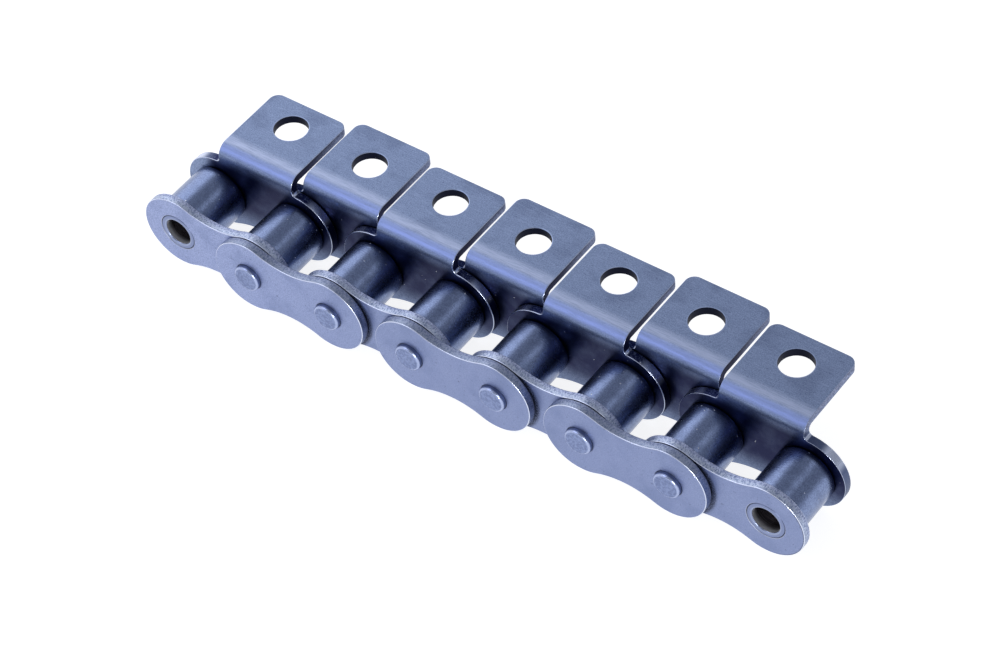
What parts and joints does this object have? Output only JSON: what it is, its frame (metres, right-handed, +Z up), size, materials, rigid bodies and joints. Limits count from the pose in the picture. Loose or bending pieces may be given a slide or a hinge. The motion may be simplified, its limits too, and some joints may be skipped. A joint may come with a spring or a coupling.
{
  "type": "attachment roller chain",
  "caption": "Length of roller chain with waisted link plates, turning rollers and, on one side of every link, a plate bent outward into a drilled tab.",
  "frame": {"origin": "middle of the first bush, on its axis, at the chain's left end", "axes": "+X along the chain, +Y along the pins towards the tabs, +Z up, from the plates' lower edges towards the tabs"},
  "size_m": [0.1494, 0.0368, 0.0199],
  "materials": {
    "inner_plate": "blued steel, matte, lightly oiled",
    "outer_plate": "blued steel, matte, lightly oiled",
    "attachment_plate": "blued steel, matte, lightly oiled",
    "bush": "turned steel, case hardened, oiled",
    "roller": "black oxide steel, satin, oiled",
    "pin": "ground steel, satin, riveted ends"
  },
  "bodies": {
    "inner_link_1": {"inner_front_plate_1": "inner_plate", "inner_attachment_plate_1": "attachment_plate", "bush_1": "bush", "bush_2": "bush"},
    "roller_1": {"roller_1": "roller"},
    "roller_2": {"roller_2": "roller"},
    "outer_link_1": {"outer_front_plate_1": "outer_plate", "outer_attachment_plate_1": "attachment_plate", "pin_1": "pin", "pin_2": "pin"},
    "inner_link_2": {"inner_front_plate_2": "inner_plate", "inner_attachment_plate_2": "attachment_plate", "bush_3": "bush", "bush_4": "bush"},
    "roller_3": {"roller_3": "roller"},
    "roller_4": {"roller_4": "roller"},
    "outer_link_2": {"outer_front_plate_2": "outer_plate", "outer_attachment_plate_2": "attachment_plate", "pin_3": "pin", "pin_4": "pin"},
    "inner_link_3": {"inner_front_plate_3": "inner_plate", "inner_attachment_plate_3": "attachment_plate", "bush_5": "bush", "bush_6": "bush"},
    "roller_5": {"roller_5": "roller"},
    "roller_6": {"roller_6": "roller"},
    "outer_link_3": {"outer_front_plate_3": "outer_plate", "outer_attachment_plate_3": "attachment_plate", "pin_5": "pin", "pin_6": "pin"},
    "inner_link_4": {"inner_front_plate_4": "inner_plate", "inner_attachment_plate_4": "attachment_plate", "bush_7": "bush", "bush_8": "bush"},
    "roller_7": {"roller_7": "roller"},
    "roller_8": {"roller_8": "roller"}
  },
  "joints": [
    {"name": "link_hinge_1", "type": "hinge", "parent": "inner_link_1", "child": "outer_link_1", "pos_m": [0.01905, 0, 0], "axis": [0, 1, 0], "range_deg": [-5, 45]},
    {"name": "link_hinge_2", "type": "hinge", "parent": "outer_link_1", "child": "inner_link_2", "pos_m": [0.0381, 0, 0], "axis": [0, 1, 0], "range_deg": [-5, 45]},
    {"name": "link_hinge_3", "type": "hinge", "parent": "inner_link_2", "child": "outer_link_2", "pos_m": [0.05715, 0, 0], "axis": [0, 1, 0], "range_deg": [-5, 45]},
    {"name": "link_hinge_4", "type": "hinge", "parent": "outer_link_2", "child": "inner_link_3", "pos_m": [0.0762, 0, 0], "axis": [0, 1, 0], "range_deg": [-5, 45]},
    {"name": "link_hinge_5", "type": "hinge", "parent": "inner_link_3", "child": "outer_link_3", "pos_m": [0.09525, 0, 0], "axis": [0, 1, 0], "range_deg": [-5, 45]},
    {"name": "link_hinge_6", "type": "hinge", "parent": "outer_link_3", "child": "inner_link_4", "pos_m": [0.1143, 0, 0], "axis": [0, 1, 0], "range_deg": [-5, 45]},
    {"name": "roller_spin_1", "type": "hinge", "parent": "inner_link_1", "child": "roller_1", "pos_m": [0, 0, 0], "axis": [0, 1, 0], "continuous": true},
    {"name": "roller_spin_2", "type": "hinge", "parent": "inner_link_1", "child": "roller_2", "pos_m": [0.01905, 0, 0], "axis": [0, 1, 0], "continuous": true},
    {"name": "roller_spin_3", "type": "hinge", "parent": "inner_link_2", "child": "roller_3", "pos_m": [0.0381, 0, 0], "axis": [0, 1, 0], "continuous": true},
    {"name": "roller_spin_4", "type": "hinge", "parent": "inner_link_2", "child": "roller_4", "pos_m": [0.05715, 0, 0], "axis": [0, 1, 0], "continuous": true},
    {"name": "roller_spin_5", "type": "hinge", "parent": "inner_link_3", "child": "roller_5", "pos_m": [0.0762, 0, 0], "axis": [0, 1, 0], "continuous": true},
    {"name": "roller_spin_6", "type": "hinge", "parent": "inner_link_3", "child": "roller_6", "pos_m": [0.09525, 0, 0], "axis": [0, 1, 0], "continuous": true},
    {"name": "roller_spin_7", "type": "hinge", "parent": "inner_link_4", "child": "roller_7", "pos_m": [0.1143, 0, 0], "axis": [0, 1, 0], "continuous": true},
    {"name": "roller_spin_8", "type": "hinge", "parent": "inner_link_4", "child": "roller_8", "pos_m": [0.13335, 0, 0], "axis": [0, 1, 0], "continuous": true}
  ]
}
